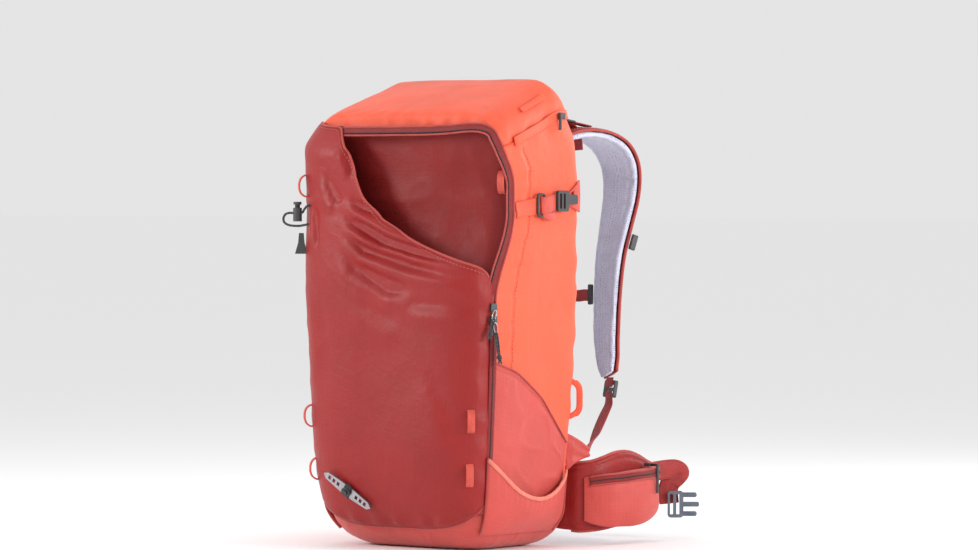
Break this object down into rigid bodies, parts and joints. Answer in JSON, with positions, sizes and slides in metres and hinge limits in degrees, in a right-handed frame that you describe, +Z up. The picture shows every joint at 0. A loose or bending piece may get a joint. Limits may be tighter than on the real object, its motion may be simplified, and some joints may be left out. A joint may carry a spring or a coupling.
{
  "type": "ski backpack",
  "caption": "Ski touring backpack with a zipped wet-gear front pocket standing open, framed back, padded shoulder harness and hip belt with pockets.",
  "frame": {"origin": "on the surface the bag stands on, under the middle of its flat base", "axes": "+Z up, -Y out of the front pocket, +Y towards the wearer, +X the wearer's right"},
  "size_m": [0.3799, 0.4186, 0.5814],
  "materials": {
    "shell_orange": "coated ripstop nylon, soft sheen",
    "front_red": "plain-weave coated polyamide, soft sheen",
    "guard_red": "coated ripstop polyamide",
    "zip_tape": "woven zip tape with fine coils",
    "webbing": "ribbed woven webbing",
    "harness_webbing": "ribbed woven webbing",
    "back_mesh": "air mesh over foam",
    "grey_mesh": "soft light spacer mesh",
    "black_cord": "braided elastic cord and webbing",
    "black_plastic": "moulded acetal",
    "buckle_grey": "moulded acetal, satin",
    "aluminium": "bead blasted",
    "spring_steel": "bright wire"
  },
  "bodies": {
    "root": {"main_bag": "shell_orange", "lid": "shell_orange", "lid_zip": "shell_orange", "front_lining": "front_red", "front_flap": "front_red", "front_zip": "zip_tape", "bottom_panel": "guard_red", "side_guard_right": "guard_red", "side_guard_left": "guard_red", "side_pocket_right": "guard_red", "side_pocket_left": "guard_red", "back_panel": "back_mesh", "frame_sheet": "black_plastic", "frame_stays": "aluminium", "ski_loops": "webbing", "toggle_anchor": "black_cord", "shaft_cord": "black_cord", "cord_lock_body": "black_plastic", "cord_lock_spring": "spring_steel", "shaft_tab": "black_cord", "side_strap_right": "webbing", "side_strap_left": "webbing", "side_tabs": "webbing", "back_edge_loops": "webbing", "wing_right": "shell_orange", "wing_left": "shell_orange", "lower_webbing": "harness_webbing"},
    "harness": {"strap_shell_right": "front_red", "strap_shell_left": "front_red", "strap_pad_right": "grey_mesh", "strap_pad_left": "grey_mesh", "strap_clips": "black_plastic", "load_lifters": "harness_webbing"},
    "ladder_right": {"ladder_lock_right": "black_plastic"},
    "ladder_left": {"ladder_lock_left": "black_plastic"},
    "sternum": {"sternum_web": "harness_webbing", "sternum_buckle_female": "black_plastic", "sternum_sliders": "black_plastic"},
    "sternum_male": {"sternum_buckle_male": "black_plastic"},
    "fin_right": {"hip_fin_right": "front_red", "hip_pocket_right": "guard_red", "hip_web_right": "harness_webbing"},
    "fin_left": {"hip_fin_left": "front_red", "hip_pocket_left": "guard_red", "hip_web_left": "harness_webbing"},
    "buckle_right": {"hip_buckle_male": "buckle_grey"},
    "buckle_left": {"hip_buckle_female": "buckle_grey"},
    "hip_zip_right": {"hip_slider_right": "black_plastic"},
    "hip_zip_left": {"hip_slider_left": "black_plastic"},
    "zip_upper": {"slider_upper": "black_plastic"},
    "zip_lower": {"slider_lower": "black_plastic"},
    "zip_pull_upper": {"pull_upper": "black_cord"},
    "zip_pull_lower": {"pull_lower": "black_cord"},
    "lid_zip_right": {"lid_slider_right": "black_plastic"},
    "lid_zip_left": {"lid_slider_left": "black_plastic"},
    "toggle": {"toggle_bar": "aluminium"},
    "lock_plunger": {"cord_lock_button": "black_plastic"},
    "hook_right": {"side_hook_right": "black_plastic"},
    "hook_left": {"side_hook_left": "black_plastic"},
    "haul": {"haul_loop": "harness_webbing"}
  },
  "joints": [
    {"name": "harness_swing", "type": "hinge", "parent": "root", "child": "harness", "pos_m": [0, 0.113, 0.498], "axis": [1, 0, 0], "range_deg": [-12, 6]},
    {"name": "ladder_right_tilt", "type": "hinge", "parent": "harness", "child": "ladder_right", "pos_m": [0.1134, 0.2007, 0.2005], "axis": [0.9135, -0.4067, 0], "range_deg": [0, 30]},
    {"name": "ladder_left_tilt", "type": "hinge", "parent": "harness", "child": "ladder_left", "pos_m": [-0.1134, 0.2007, 0.2005], "axis": [0.9135, 0.4067, 0], "range_deg": [0, 30]},
    {"name": "sternum_height", "type": "slide", "parent": "harness", "child": "sternum", "axis": [0, -0.2599, -0.9656], "range_m": [-0.012, 0.012]},
    {"name": "sternum_release", "type": "slide", "parent": "sternum", "child": "sternum_male", "axis": [1, 0, 0], "range_m": [0, 0.012]},
    {"name": "fin_right_fold", "type": "hinge", "parent": "root", "child": "fin_right", "pos_m": [0.118, 0.106, 0.06], "axis": [0, 0, 1], "range_deg": [-20, 30]},
    {"name": "fin_left_fold", "type": "hinge", "parent": "root", "child": "fin_left", "pos_m": [-0.118, 0.106, 0.06], "axis": [0, 0, -1], "range_deg": [-20, 30]},
    {"name": "hip_buckle_right_swing", "type": "hinge", "parent": "fin_right", "child": "buckle_right", "pos_m": [0.159, 0.259, 0.044], "axis": [0, 0, 1], "range_deg": [-20, 25]},
    {"name": "hip_buckle_left_swing", "type": "hinge", "parent": "fin_left", "child": "buckle_left", "pos_m": [-0.152, 0.254, 0.084], "axis": [0, 0, -1], "range_deg": [-30, 30]},
    {"name": "hip_zip_right_run", "type": "slide", "parent": "fin_right", "child": "hip_zip_right", "axis": [0, -1, 0], "range_m": [0, 0.04]},
    {"name": "hip_zip_left_run", "type": "slide", "parent": "fin_left", "child": "hip_zip_left", "axis": [0, -1, 0], "range_m": [0, 0.04]},
    {"name": "front_zip_upper_run", "type": "slide", "parent": "root", "child": "zip_upper", "axis": [0.06, 0, 0.9982], "range_m": [0, 0.012]},
    {"name": "front_zip_lower_run", "type": "slide", "parent": "root", "child": "zip_lower", "axis": [0.06, 0, 0.9982], "range_m": [-0.09, 0]},
    {"name": "pull_upper_swing", "type": "hinge", "parent": "zip_upper", "child": "zip_pull_upper", "pos_m": [0.15161, -0.08844, 0.296], "axis": [-0.4067, -0.9135, 0], "range_deg": [0, 80]},
    {"name": "pull_lower_swing", "type": "hinge", "parent": "zip_lower", "child": "zip_pull_lower", "pos_m": [0.15161, -0.08844, 0.281], "axis": [-0.4067, -0.9135, 0], "range_deg": [0, 80]},
    {"name": "lid_zip_right_run", "type": "slide", "parent": "root", "child": "lid_zip_right", "axis": [0.07, -0.9501, -0.304], "range_m": [0, 0.06]},
    {"name": "lid_zip_left_run", "type": "slide", "parent": "root", "child": "lid_zip_left", "axis": [-0.07, -0.9501, -0.304], "range_m": [0, 0.06]},
    {"name": "toggle_turn", "type": "hinge", "parent": "root", "child": "toggle", "pos_m": [-0.057, -0.1185, 0.071], "axis": [0, -0.9563, -0.2924], "range_deg": [-90, 90]},
    {"name": "lock_press", "type": "slide", "parent": "root", "child": "lock_plunger", "axis": [0, 0, -1], "range_m": [0, 0.0035], "stiffness_N_per_m": 400, "springref_m": -0.002, "deforming": ["cord_lock_spring"]},
    {"name": "hook_right_release", "type": "hinge", "parent": "root", "child": "hook_right", "pos_m": [0.155, 0.03, 0.43], "axis": [0, 0, -1], "range_deg": [0, 60]},
    {"name": "hook_left_release", "type": "hinge", "parent": "root", "child": "hook_left", "pos_m": [-0.155, 0.03, 0.43], "axis": [0, 0, 1], "range_deg": [0, 60]},
    {"name": "haul_fold", "type": "hinge", "parent": "root", "child": "haul", "pos_m": [0, 0.099, 0.526], "axis": [1, 0, 0], "range_deg": [-25, 10]}
  ]
}
